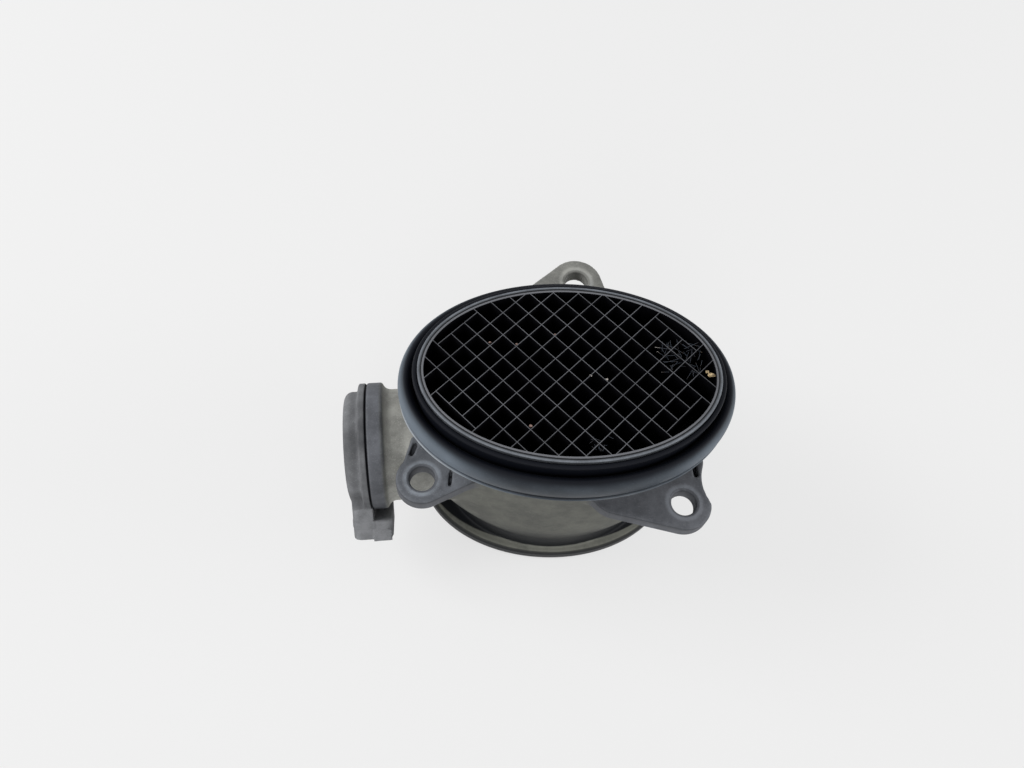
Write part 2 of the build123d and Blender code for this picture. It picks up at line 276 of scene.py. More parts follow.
def skin(field, low, high, cell):
    """Points, quads and normals of the surface where a field is zero, in a box, in mm."""
    counts = np.ceil((np.array(high) - low) / cell).astype(int) + 1
    axes = [low[k] + cell * np.arange(counts[k]) for k in range(3)]
    grid = np.stack(np.meshgrid(*axes, indexing="ij"), -1)
    value = field(grid.reshape(-1, 3)).reshape(counts)
    inside = value < 0
    cells, number = crossed_cells(inside)
    points = low + crossing_means(value, cells, cell)
    for _ in range(newton_steps):
        g = slope(field, points)
        steepness = np.maximum((g * g).sum(-1), least_slope_squared)
        move = -field(points)[:, None] * g / steepness[:, None]
        points += np.clip(move, -cell / 2, cell / 2)
    normals = slope(field, points, normal_step)
    normals /= np.linalg.norm(normals, axis=-1, keepdims=True)
    return points, crossing_quads(inside, number), normals


print("vertices are pulled tight in", newton_steps, "steps")

# %% [markdown]
# ## One object from several shapes
# A piece of the real sensor is one moulding, so it should be one object, even where its thin
# collar is swept and its body is a skin. A shape is its points, its faces of four corners and a
# normal at each point; this helper stacks several of them into one mesh.


# %% One object from several shapes
def mesh_object(name, *shapes):
    """Smooth object from shapes given in millimetres; each shape's corners count on from the last."""
    first = np.cumsum([0] + [len(shape[0]) for shape in shapes])
    points = np.concatenate([shape[0] for shape in shapes])
    faces = np.concatenate([shape[1] + start for shape, start in zip(shapes, first)])
    normals = np.concatenate([shape[2] for shape in shapes])
    mesh = bpy.data.meshes.new(name)
    mesh.from_pydata((points * MM).tolist(), [], faces.tolist())
    mesh.shade_smooth()
    mesh.normals_split_custom_set_from_vertices(normals.tolist())
    made = bpy.data.objects.new(name, mesh)
    bpy.context.collection.objects.link(made)
    print(name, len(mesh.polygons), "faces")
    return made


# %% [markdown]
# ## Profiles
# Collar, frame and seal each have one cross-section. A section could be drawn as a curve; as a
# list of (reach, height) points in a numpy array it can be rounded by arcs and used at once.


# %% Profiles
def arc(centre, radii, start, end, count):
    """Points of an elliptic arc between two angles in degrees."""
    angles = np.radians(np.linspace(start, end, count))
    return np.stack([centre[0] + radii[0] * np.cos(angles), centre[1] + radii[1] * np.sin(angles)], -1)


def band(inner, outer, low, high, rounding, count=5):
    """Anticlockwise profile of a band with its four corners rounded."""
    r = (rounding, rounding)
    return np.concatenate([
        arc((outer - rounding, low + rounding), r, -90, 0, count),
        arc((outer - rounding, high - rounding), r, 0, 90, count),
        arc((inner + rounding, high - rounding), r, 90, 180, count),
        arc((inner + rounding, low + rounding), r, 180, 270, count),
    ])


def profile_normals(profile):
    """Outward normals of an anticlockwise profile: the mean of a point's two edges, turned right."""
    edge = np.roll(profile, -1, axis=0) - profile
    edge /= np.linalg.norm(edge, axis=-1, keepdims=True)
    tangent = edge + np.roll(edge, 1, axis=0)
    tangent /= np.linalg.norm(tangent, axis=-1, keepdims=True)
    return tangent[:, 1], -tangent[:, 0]


print("a band's profile has", len(band(0, 1, 0, 1, 0.1)), "points")

# %% [markdown]
# ## Profiles carried round the inlet
# A sweep is the right tool for the oval pieces, because a profile never changes on the way: each
# of its points is pushed out from the oval along the oval's own normal, so walls keep their
# thickness all the way round. Scaling an oval would make them thinner at its long ends.


# %% Profiles carried round the inlet
def carried(profile, steps=480):
    """A closed profile of (reach, height), given anticlockwise, carried round the inlet's oval."""
    turns = np.linspace(0, 2 * pi, steps, endpoint=False)[:, None]
    out = np.stack([np.cos(turns) * inlet[1], np.sin(turns) * inlet[0]])
    out /= np.linalg.norm(out, axis=0)
    x = inlet[0] * np.cos(turns) + out[0] * profile[:, 0]
    y = inlet[1] * np.sin(turns) + out[1] * profile[:, 0]
    z = np.broadcast_to(profile[:, 1], x.shape)
    points = np.stack([x, y, z], -1)
    normal_out, normal_up = profile_normals(profile)
    normal_up = np.broadcast_to(normal_up, x.shape)
    normals = np.stack([out[0] * normal_out, out[1] * normal_out, normal_up], -1)

    i, j = np.meshgrid(np.arange(steps), np.arange(len(profile)), indexing="ij")
    after_i, after_j = (i + 1) % steps, (j + 1) % len(profile)
    ring = [(i, j), (after_i, j), (after_i, after_j), (i, after_j)]
    faces = np.stack([(a * len(profile) + b).ravel() for a, b in ring], -1)
    return points.reshape(-1, 3), faces, normals.reshape(-1, 3)


print("a carried band has", len(carried(band(0, 1, 0, 1, 0.1))[1]), "faces")

# %% [markdown]
# ## Tube, shoulder and rim
# The housing is one moulding. Its core is an oval tube that narrows from the inlet to the outlet,
# with a slight waist above the outlet rim and a shoulder that carries the seal. A loft would give
# the tube, but not the fillets, so the passage's half axes are a smooth function of height.

# %% Tube, shoulder and rim
passage_low = 4
passage_rise = 24
waist_depth = 0.9
waist_height = 11.5
waist_half = 9.0
shoulder_reach = 4.2
shoulder_depth = 3.5
core_fillet = 0.8
# a leaning wall is nearer than it looks along its own height, so its distance is scaled down
tube_lean = 0.9


def passage(z):
    """Half axes of the air passage: a smooth step from outlet to inlet between two heights."""
    t = np.clip((z - passage_low) / passage_rise, 0, 1)
    step = t * t * (3 - 2 * t)
    return outlet[0] + (inlet[0] - outlet[0]) * step, outlet[1] + (inlet[1] - outlet[1]) * step


def tube_field(x, y, z):
    """The passage and its wall, joined with the shoulder and the outlet rim."""
    p_long, p_short = passage(z)
    waist = waist_depth * np.clip(1 - np.abs(z - waist_height) / waist_half, 0, 1)
    around = oval(x, y, p_long + wall - waist, p_short + wall - waist) * tube_lean
    tube = np.maximum(around, level(z, 0, shoulder_top))
    slab = level(z, shoulder_top - shoulder_depth, shoulder_top)
    shoulder = shared(oval(x, y, *(inlet + shoulder_reach)), slab, 0.4)
    outlet_rim = shared(oval(x, y, *rim), level(z, 0, rim_height), 1.3)
    return joined(joined(tube, shoulder, core_fillet), outlet_rim, core_fillet)


print("the passage narrows from", inlet.round(1), "to", outlet)

# %% [markdown]
# ## Ears on gussets
# Three ears take the screws. Each is a flat plate whose sides run tangent to the tube, carried by
# a gusset that steps back as it goes down, with a seat for a nut underneath. Two tapering bars
# from the screw to the tube give the plate's outline without drawing any of its curves.

# %% Ears on gussets
# each ear's radius, then where its two sides run to and the radius there
ears = {
    "left": (7.3, ((-42.0, -11.3), 1.3), ((-24.0, -14.0), 8.0)),
    "right": (7.8, ((36.0, -13.5), 3.8), ((15.0, -24.0), 8.5)),
    "rear": (8.1, ((-8.0, 33.0), 7.0), ((9.0, 30.0), 9.0)),
}
right_hollow = (50.8, -22.0)
hollow_radius = 12.0
seat_radius = 6.5
gusset_drop = 15
gusset_lean = 0.75
gusset_root = 17.8
root_radius = 7.5
# the nose at the ear, and what a full drop adds to its step back and takes from its radius
nose_step, step_more = 4.0, 7.0
nose_radius, radius_less = 6.6, 2.6


def gusset_field(x, y, z, tip, inward):
    """A bar from a nose to the tube; going down, the nose steps back and gets thinner."""
    drop = np.clip((ear_under - z) / gusset_drop, 0, 1)
    step_back = nose_step + step_more * drop
    nose = (tip[0] + inward[0] * step_back, tip[1] + inward[1] * step_back)
    root = tip + inward * gusset_root
    gusset = bar(x, y, nose, root, nose_radius - radius_less * drop, root_radius) * gusset_lean
    return np.maximum(gusset, level(z, ear_under - gusset_drop, ear_under + 1))


def ear_field(x, y, z, name):
    """An ear's plate joined with its gusset, less the nut seat."""
    tip = screws[name][:2]
    inward = -tip / np.hypot(*tip)
    radius, one_side, other_side = ears[name]
    pad = np.minimum(bar(x, y, tip, one_side[0], radius, one_side[1]),
                     bar(x, y, tip, other_side[0], radius, other_side[1]))
    if name == "right":
        pad = cut(pad, np.hypot(x - right_hollow[0], y - right_hollow[1]) - hollow_radius, 0.6)
    ear = shared(pad, level(z, ear_under, ear_top), 0.7)
    ear = joined(ear, gusset_field(x, y, z, tip, inward), 0.8)
    seat = np.maximum(np.hypot(x - tip[0], y - tip[1]) - seat_radius, z - ear_under)
    return cut(ear, seat, 0.4)


print("ears:", ", ".join(ears))

# %% [markdown]
# ## Openings of the housing
# The mould's cores leave the air passage, the bore for the module's plug, the window through which
# its probe reaches the air, the screw holes, and small pits where the ears meet the tube. Each is
# a field like any other. The large ones are cut sharp, as the cores are; the rest get a small
# rounding, so that their edges catch the light.

# %% Openings of the housing
bore_radius = 12.6
bore_start = 44
window_start = 20
window_half = (4.3, 9.3)
screw_hole = 3.5
hole_rounding = 0.8
pit_rounding = 0.4
# start, end, half width and depth
pits = (
    ((-41.9, -13.0), (-42.8, -15.6), 0.6, 2.0),
    ((-31.7, -20.9), (-31.9, -24.6), 0.4, 1.6),
    ((37.0, -17.2), (37.2, -20.4), 0.7, 4.0),
)


def opened(solid, points):
    """The solid without its passage, bore and window, then without its pits and screw holes.

    The bore and the screw holes run a few millimetres past what they cut, so no thin lid is left.
    """
    x, y, z = np.moveaxis(points, -1, 0)
    reach, side, up, radial = from_module(points)
    hollow = oval(x, y, *passage(z))
    bore = np.maximum(radial - bore_radius, level(reach, bore_start, joint + 5))
    window = np.maximum(rounded_block(side, up, *window_half, 0.5), level(reach, window_start, joint))
    solid = np.maximum(solid, -np.minimum(hollow, np.minimum(bore, window)))
    for start, end, half_width, depth in pits:
        pit = np.maximum(bar(x, y, start, end, half_width, half_width), ear_top - depth - z)
        solid = cut(solid, pit, pit_rounding)
    for tip in screws.values():
        away = np.hypot(x - tip[0], y - tip[1]) - screw_hole
        solid = cut(solid, np.maximum(away, level(z, ear_under - 2, ear_top + 5)), hole_rounding)
    return solid


print(len(pits), "pits and", len(screws), "screw holes")

# %% [markdown]
# ## Flow housing
# The field adds tube, ears, boss and flange in the order a mould designer would, with wide fillets
# where the ears and the boss leave the tube, and then opens them. The collar round the grid is
# thinner than a cell of the skin's grid, so it is swept instead.

# %% Flow housing
boss_start = 28
ear_fillet = 2.2
boss_fillet = 2.5
flange_fillet = 2.6
skin_margin = 2.1


def housing_field(points):
    """Distance to the flow housing, without the thin collar above its shoulder."""
    x, y, z = np.moveaxis(points, -1, 0)
    reach, side, up, radial = from_module(points)
    solid = tube_field(x, y, z)
    for name in screws:
        solid = joined(solid, ear_field(x, y, z, name), ear_fillet)
    boss = np.maximum(radial - boss_radius, level(reach, boss_start, joint - 0.3))
    solid = joined(solid, boss, boss_fillet)
    flange = shared(radial - flange_radius, level(reach, joint - flange_depth, joint - 0.05), 0.6)
    solid = joined(solid, flange, flange_fillet)
    return opened(np.maximum(solid, -z), points)


skin_top = (house_high[0] + skin_margin, house_high[1] + skin_margin, shoulder_top + skin_margin)
housing_skin = skin(housing_field, house_low - skin_margin, skin_top, 0.72)
collar = carried(band(frame_wall, collar_edge, shoulder_top - 1, top, 0.22))
housing = mesh_object("housing_skin", housing_skin, collar)
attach(housing, "root")
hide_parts("flow_housing")

# %% [markdown]
# ## Bead seal
# The rubber seal pushes into an air box. Its profile has a sleeve with a rolled lip, a web, and
# outside them the bulb, whose foot ends in a thin lip. It is drawn anticlockwise from the sleeve's
# foot, one arc for each rounding, and carried round the inlet as the collar is.

# %% Bead seal
bulb_reach = seal_high[0] - inlet[0]
bulb_half = 2.2
crest = top - 4.4
foot = seal_low[2]
bulb_mid = (bulb_reach - bulb_half, (crest + foot) / 2)
sleeve = collar_edge + 0.1
seal_profile = np.concatenate([
    arc((sleeve + 0.3, shoulder_top + 0.3), (0.3, 0.3), 180, 270, 4),
    arc((bulb_reach - 1.5, foot + 0.5), (0.6, 0.5), 200, 270, 4),
    arc((bulb_reach - 0.55, foot + 0.45), (0.45, 0.45), -90, 60, 8),
    arc(bulb_mid, (bulb_half, (crest - foot) / 2), -48, 215, 36),
    arc((sleeve + 1.3, shoulder_top + 2.8), (0.4, 0.4), 270, 180, 5),
    arc((sleeve + 1.1, top - 2.6), (0.25, 0.3), 180, 100, 4),
    arc((sleeve + 0.8, top - 1.5), (0.5, 0.5), -80, 100, 9),
    arc((sleeve + 0.3, top - 1.3), (0.3, 0.3), 90, 180, 4),
])
seal = mesh_object("seal_skin", carried(seal_profile))
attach(seal, "root")
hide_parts("inlet_seal")

# %% [markdown]
# ## A bar of the grid
# The bars that straighten the air are thin blades with a rounded upper edge, which catches a line
# of light. A beveled cube would do; here the section's outline is placed at both ends and joined
# by quads. The ends stay open, because they are buried in what the bar runs into.


# %% A bar of the grid
def strip(start, end, half_width, low, high, count=7):
    """Straight bar with a half-round top: its section's outline at both ends, joined by quads."""
    along = np.subtract(end, start)
    along = along / np.hypot(*along)
    across = np.array([along[1], -along[0]])
    crown = arc((0, high - half_width), (half_width, half_width), 0, 180, count)
    section = np.concatenate([[(half_width, low)], crown, [(-half_width, low)]])
    ends = [np.column_stack([place + across * section[:, :1], section[:, 1]]) for place in (start, end)]
    n = len(section)
    j = np.arange(n)
    sides = np.stack([j, j + n, (j + 1) % n + n, (j + 1) % n], -1)
    normal_out, normal_up = profile_normals(section)
    normal = np.column_stack([across * normal_out[:, None], normal_up])
    return np.concatenate(ends), sides, np.concatenate([normal, normal])


print("a bar has", len(strip((0, 0), (1, 0), 0.1, 0, 1)[1]), "faces")

# %% [markdown]
# ## Inlet grid
# Twenty-six straight bars cross at right angles inside a thin frame. A boolean of so many crossing
# bars would leave ragged faces, so each bar is a strip of its own. Most end inside the frame's
# wall. An outermost bar spans only a few crossings, and the second and third bars from the middle
# end on one where they reach it.

# %% Inlet grid
pitch = 5.0
outermost = 6
stub = 4
bar_half = 0.125
grid_depth = 12
grid_middle = np.array([-0.6, 0.0])
held = inlet + frame_wall / 2


def line_ends(along, base):
    """Where a line meets the oval in the frame's wall: the two roots of a quadratic."""
    a = ((along / held) ** 2).sum()
    b = (along * base / held**2).sum()
    c = ((base / held) ** 2).sum() - 1
    half = np.sqrt(b * b - a * c)
    return (-b - half) / a, (-b + half) / a


def grid_bar(degrees, row):
    """The bar of a row, counted from the middle one, at that angle."""
    along = np.array([cos(radians(degrees)), sin(radians(degrees))])
    across = np.array([-along[1], along[0]])
    base = grid_middle + across * row * pitch
    low_end, high_end = line_ends(along, base)
    if abs(row) == outermost:
        # it lies on the side where the oval is wide
        sense = np.sign(low_end + high_end)
        low_end, high_end = sorted((sense * pitch, sense * stub * pitch))
    elif 1 < abs(row) < stub:
        # these rows end on the outermost bars that cross them
        low_end, high_end = max(low_end, -outermost * pitch), min(high_end, outermost * pitch)
    return strip(base + along * low_end, base + along * high_end, bar_half, top - grid_depth, top - 0.05)


bars = [grid_bar(degrees, row) for degrees in (45, -45) for row in range(-outermost, outermost + 1)]
grid_frame = carried(band(0, frame_wall, top - grid_depth, top, 0.12))
grid = mesh_object("grid_skin", grid_frame, *bars)
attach(grid, "root")
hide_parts("inlet_grid")

# %% [markdown]
# ## Round cover of the module
# The module's case is a round cover with a domed face, on a flange that meets the housing's own
# with a dark seam between them. A lathed profile would do for it alone. It is a field because the
# connector grows out of its side.

# %% Round cover of the module
seam_gap = 0.25
seam_radius = 17.4
cover_flange_top = 2.4
dome_radius = 16.6
dome_top = 6.8
cavity_radius = 15
cavity_depth = 5.2


def cover_field(reach, radial):
    """Flange, the narrower ring that shows in the seam, and the dome on them."""
    outer = level(reach, joint + seam_gap, joint + cover_flange_top)
    flange = shared(radial - flange_radius, outer, 0.5)
    flange = np.minimum(flange, np.maximum(radial - seam_radius, level(reach, joint, joint + 2)))
    dome = shared(radial - dome_radius, level(reach, joint + 1, joint + dome_top), 2.4)
    return joined(flange, dome, 1.0)


print("the dome stands", dome_top, "mm out of the joint")

# %% [markdown]
# ## Sensing module's case
# A connector leaves the cover at 45 degrees, down and forwards, and reaches back beside the
# housing's flange. Its mouth has round corners and a wedge on top for the plug's latch. It is
# measured along its own length and height, which are sums of the module's directions.

# %% Sensing module's case
plug_mid = joint + 0.3
plug_rise = 3
plug_half = (5.9, 8.0)
socket_half = (4.2, 6.3)
plug_start = 19.8
plug_end = 26
socket_floor = 20.8
latch_start = 22.8
latch_slope = 0.42
latch_shift = 2.8
latch_half = 2.7
latch_low, latch_foot, latch_high = 10, 11, 12.2
case_margin = 1.1


def case_field(points):
    """Distance to the cover with its connector, less the hollow inside and the connector's socket."""
    reach, side, up, radial = from_module(points)
    length = (side - up) * cos(pi / 4)
    height = (side + up) * cos(pi / 4)
    section = rounded_block(reach - plug_mid, height - plug_rise, *plug_half, 2.4)
    neck = np.maximum(section, np.maximum(level(length, 6, 22), joint - reach))
    plug = shared(section, level(length, plug_start, plug_end), 0.5)
    solid = joined(joined(cover_field(reach, radial), neck, 0.8), plug, 0.5)

    ramp = height - latch_foot - (length - latch_start) * latch_slope
    latch = np.maximum(np.abs(reach - plug_mid + latch_shift) - latch_half, ramp)
    latch = np.maximum(latch, level(length, latch_start, plug_end))
    latch = np.maximum(latch, level(height, latch_low, latch_high))
    solid = joined(solid, latch, 0.3)

    cavity = np.maximum(radial - cavity_radius, reach - joint - cavity_depth)
    socket = rounded_block(reach - plug_mid, height - plug_rise, *socket_half, 1.5)
    return cut(np.maximum(solid, -cavity), np.maximum(socket, socket_floor - length), 0.3)


case_skin = skin(case_field, case_low - case_margin, case_high + case_margin, 0.45)
case = mesh_object("case_skin", case_skin)
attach(case, "root")
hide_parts("sensor_case")

# %% [markdown]
# ## Crumbs
# A few crumbs lie on the grid of a used sensor. A noisy displaced ball would do, but each would
# need a modifier. A crumb here is the distance to an ellipsoid with a sine ripple on it, skinned
# in a small box of its own, so the helper that made the housing makes it too.


# %% Crumbs
def crumb(middle, radii, phase):
    """Lumpy ellipsoid: its scaled radius less one, with a sine ripple along each axis."""
    middle, radii = np.array(middle), np.array(radii)

    def field(points):
        scaled = (points - middle) / radii
        ripple = np.sin(scaled * 4.0 + phase).sum(axis=-1) * 0.09
        return (np.linalg.norm(scaled, axis=-1) - 1 + ripple) * radii.min()

    return skin(field, middle - radii * 1.5, middle + radii * 1.5, radii.min() / 2.5)


crumb_places = (
    ((38.3, 0.0, top - 0.8), (1.05, 0.6, 0.5), 0.4),
    ((37.2, 0.9, top - 0.8), (0.5, 0.4, 0.35), 1.9),
    ((-11.1, -16.4, top - 0.6), (0.5, 0.4, 0.3), 0.9),
    ((5.3, -1.2, top - 0.5), (0.32, 0.3, 0.25), 2.3),
    ((9.5, -2.3, top - 0.5), (0.35, 0.3, 0.25), 3.1),
    ((-14.5, 8.0, top - 0.6), (0.4, 0.35, 0.25), 1.2),
    ((-4.0, 11.2, top - 0.6), (0.5, 0.4, 0.25), 4.0),
    ((-21.8, 8.4, top - 0.6), (0.4, 0.3, 0.25), 5.2),
)
crumbs = [crumb(*place) for place in crumb_places]
print(len(crumbs), "crumbs")

# %% [markdown]
# ## Threads
# Short fibres cling to the grid, most of them at its right end and a few in front. Hair curves
# would need a bake into meshes. At this size a thread is the same strip as a bar of the grid, only
# much thinner, laid down by a random draw that is the same each time.

# %% Threads
thread_count = 60
thread_half = 0.045
at_right = 46
right_patch = ((25.0, 0.0), (36.0, 9.5))
front_patch = ((4.5, -23.0), (9.5, -19.0))
chance = np.random.default_rng(7)


def thread(patch, shortest, longest):
    """A straight fibre at a random place in a patch, heading anywhere, just under the grid's top."""
    spot = chance.uniform(*patch)
    heading = chance.uniform(0, pi)
    half = chance.uniform(shortest, longest)
    offset = np.array([cos(heading), sin(heading)]) * half
    height = top - chance.uniform(0.1, 0.9)
    return strip(spot - offset, spot + offset, thread_half, height - 0.1, height)


threads = [thread(right_patch, 0.6, 2.4) for _ in range(at_right)]
threads += [thread(front_patch, 0.3, 1.0) for _ in range(thread_count - at_right)]
dirt = mesh_object("grid_dirt", *crumbs, *threads)
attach(dirt, "root")

# %% [markdown]
# ## Shader sums as Python sums
# A finish mixes many masks. Wiring Math nodes by hand hides the formula, so one small class wraps
# a socket and turns +, -, * and / into Math nodes, also where a plain number comes first.


# %% Shader sums as Python sums
class Value:
    """A shader socket that takes part in sums."""

    def __init__(self, nodes, socket):
        self.nodes = nodes
        self.socket = socket

    def math(self, operation, *numbers):
        """A Math node on sockets or plain numbers."""
        return self.nodes.make("ShaderNodeMath", {"operation": operation}, numbers)

    def __add__(self, other):
        return self.math("ADD", self, other)

    def __sub__(self, other):
        return self.math("SUBTRACT", self, other)

    def __mul__(self, other):
        return self.math("MULTIPLY", self, other)

    def __truediv__(self, other):
        return self.math("DIVIDE", self, other)

    def __rsub__(self, other):
        return self.math("SUBTRACT", other, self)

    def __rtruediv__(self, other):
        return self.math("DIVIDE", other, self)

    __radd__ = __add__
    __rmul__ = __mul__

    def larger(self, other):
        """The larger of two values."""
        return self.math("MAXIMUM", self, other)

    def smaller(self, other):
        """The smaller of two values."""
        return self.math("MINIMUM", self, other)

    def clamped(self):
        """The value held between 0 and 1."""
        return self.larger(0.0).smaller(1.0)


print("sums of sockets are ready")

# %% [markdown]
# ## One method for every node
# Materials and the world are both trees of nodes. Every node in them, whatever its type, is made
# by one method: its settings come first, because some of them change its sockets, and then the
# values or links.


# %% One method for every node
class Nodes:
    """A tree of nodes built from code, for a material or for the world."""

    def __init__(self, tree):
        self.tree = tree
        tree.nodes.clear()

    def make(self, kind, settings=None, inputs=(), output=0):
        """A node of that kind, with its inputs by order or by name; gives one of its outputs."""
        node = self.tree.nodes.new(kind)
        for key, value in (settings or {}).items():
            setattr(node, key, value)
        pairs = inputs.items() if isinstance(inputs, dict) else enumerate(inputs)
        for key, value in pairs:
            self.feed(node.inputs[key], value)
        return Value(self, node.outputs[output]) if node.outputs else None

    def feed(self, socket, value):
        """A link where the value is a socket, else the socket's own value; a colour gets its alpha."""
        if isinstance(value, Value):
            self.tree.links.new(value.socket, socket)
        elif socket.type == "RGBA":
            socket.default_value = (*value, 1)
        else:
            socket.default_value = value

    def seen_ray(self):
        """1 for a ray that shows a thing straight, mirrored or through glass, 0 for mere light."""
        names = ("Is Camera Ray", "Is Glossy Ray", "Is Transmission Ray")
        camera_ray, glossy, through = (self.make("ShaderNodeLightPath", output=name) for name in names)
        return camera_ray.larger(glossy).larger(through)


print("node trees are ready")

# %% [markdown]
# ## A material with its usual masks
# Nearly every finish needs the same few masks: clouds, a soft step between two values, one
# coordinate, a mixed colour and a bump. They read Object coordinates, so a pattern stays on its
# piece with no unwrapping, and all lengths in them are real ones.


# %% A material with its usual masks
class Finish(Nodes):
    """A material built from code: a surface shader and the nodes that feed it."""

    def __init__(self, name):
        self.material = bpy.data.materials.new(name)
        self.material.use_nodes = True
        super().__init__(self.material.node_tree)
        self.place = self.make("ShaderNodeTexCoord", output="Object")
        self.normal = self.make("ShaderNodeNewGeometry", output="Normal")

    def noise(self, scale, detail=4.0, roughness=0.55, stretch=None):
        """Cloudy noise from 0 to 1; scale is in waves per metre."""
        where = self.place
        if stretch is not None:
            where = self.make("ShaderNodeMapping", None, {"Vector": where, "Scale": stretch})
        inputs = {"Vector": where, "Scale": scale, "Detail": detail, "Roughness": roughness}
        return self.make("ShaderNodeTexNoise", None, inputs)

    def ramp(self, value, low, high):
        """0 below low, 1 above high, smooth between."""
        return self.make("ShaderNodeMapRange", {"interpolation_type": "SMOOTHSTEP"},
                         {"Value": value, "From Min": low, "From Max": high})

    def mix(self, amount, a, b):
        """Colour a where amount is 0, colour b where it is 1; a Mix node's colours are sockets 6 and 7."""
        return self.make("ShaderNodeMix", {"data_type": "RGBA"}, {0: amount, 6: a, 7: b}, output=2)

    def axis(self, vector, name):
        """One coordinate of a vector socket."""
        return self.make("ShaderNodeSeparateXYZ", None, [vector], output=name)

    def millimetres(self, names="XYZ"):
        """The shaded point's coordinates in millimetres."""
        return [self.axis(self.place, name) / MM for name in names]

    def bump(self, height, depth, strength=0.6):
        """Normal tilted by a height from 0 to 1; depth is in metres."""
        inputs = {"Height": height, "Distance": depth, "Strength": strength}
        return self.make("ShaderNodeBump", None, inputs)

    def output(self, shader):
        """The material, with that shader as its surface."""
        self.make("ShaderNodeOutputMaterial", None, {"Surface": shader})
        return self.material

    def surface(self, **sockets):
        """A plain surface shader, with its sockets by name, underscores for spaces."""
        named = {key.replace("_", " "): value for key, value in sockets.items()}
        return self.output(self.make("ShaderNodeBsdfPrincipled", None, named))


print("finishes are ready")

# %% [markdown]
# ## Masks that know the sensor
# Dust, wear and painted shade follow the form: they lie inside or outside an oval, or on the module's
# boss. These two sums find such places from the shaded point alone, so no mask has to be painted.


# %% Masks that know the sensor
def oval_square(x, y, halves):
    """1 on the oval of those half axes, less inside, more outside: (x/a) squared + (y/b) squared."""
    across, along = x / halves[0], y / halves[1]
    return across * across + along * along


def module_place(x, y, z):
    """How far out along the module's axis a point lies, and its squared distance from that axis."""
    reach = x * module_out[0] + y * module_out[1]
    side = x * module_forward[0] + y * module_forward[1]
    rise = z - module_height
    return reach, side * side + rise * rise


def dress(finish, *things):
    """The finish on objects or on nodes of the frame."""
    for thing in things:
        target = frame["nodes"][thing] if isinstance(thing, str) else thing
        target.data.materials.clear()
        target.data.materials.append(finish)
    print(finish.name, "on", len(things), "pieces")


print("on an oval its own sum is", oval_square(3.0, 0.0, (3.0, 2.0)))

# %% [markdown]
# ## Dust over plastic
# Black plastic under the bonnet greys with years of road dust. It could be a second material mixed
# by a painted map. Here one amount from 0 to 1 is broken up by clouds, patches, streaks and
# specks, and drives colour and roughness together. A fine grain gives the matt look of the mould.

# %% Dust over plastic
plastic_specular = 0.2
# metres
grain_depth = 0.00004


def dust_and_painted_light_over(f, plain, dust, amount):
    """Plain colour under dust, thicker where clouds and specks meet; its amount holds painted light too."""
    cloud = f.noise(90, 6)
    patch = f.ramp(f.noise(160, 7, 0.7), 0.3, 0.7)
    streak = f.noise(70, 5, 0.6, (1.0, 1.0, 0.3))
    speck = f.ramp(f.noise(2600, 2), 0.58, 0.68)
    amount = amount * (0.25 + cloud * 0.4 + patch * 0.4 + streak * 0.3 + speck * 0.25)
    amount = amount.clamped()
    return f.surface(
        Base_Color=f.mix(amount, plain, dust),
        Roughness=0.5 + amount * 0.3,
        Specular_IOR_Level=plastic_specular,
        Normal=f.bump(f.noise(5200, 3) * 0.5 + patch * 0.5, grain_depth),
    )


print("dust hides a grain of", grain_depth / MM, "mm")

# %% [markdown]
# ## Dusty housing
# Dust lies thickest on what faces up; handling has rubbed it thin on the ears. Low on the walls,
# just under the seal, at the rim's foot, in patches on the flange's sides and inside the passage the
# plastic is painted darker as shade, and the left ear and a ring round each screw are painted lighter
# as light. The dust is olive on the walls, bluish on the ears and the collar, and pale on the
# boss. Each part of the housing is known by a mask of its height and distance, and the masks are
# summed into how much dust, painted shade and painted light there is and which colour it has.

# %% Dusty housing
black, olive, bluish = (0.008, 0.009, 0.011), (0.215, 0.218, 0.19), (0.215, 0.225, 0.25)
pale_olive, pale_blue = (0.42, 0.42, 0.39), (0.30, 0.33, 0.37)


def housing_parts(f, x, y, z):
    """Masks of the boss, its flange, the collar, the ears and a painted highlight round each screw."""
    reach, away = module_place(x, y, z)
    near_axis = 1.0 - f.ramp(away, (boss_radius + 0.6) ** 2, (boss_radius + 2.4) ** 2)
    flange = f.ramp(reach, joint - 4.9, joint - 3.5)
    boss = f.ramp(reach, 30.0, 34.0) * near_axis * (1.0 - flange)
    collar_part = f.ramp(z, top - 8.0, top - 5.0)
    off_tube = f.ramp(oval_square(x, y, inlet + 1.1), 1.12, 1.26)
    ear = f.ramp(z, ear_under - 3.0, ear_under + 0.5) * off_tube
    ear = ear * (1.0 - collar_part) * (1.0 - boss) * (1.0 - flange)
    # painted highlight: a pale ring round each screw hole
    ring_highlight = 0.0
    for tip in screws.values():
        gap_x, gap_y = x - tip[0], y - tip[1]
        away = gap_x * gap_x + gap_y * gap_y
        ring_highlight = f.ramp(away, 17.0, 20.0) * (1.0 - f.ramp(away, 22.0, 34.0)) + ring_highlight
    return boss, flange, collar_part, ear, ring_highlight


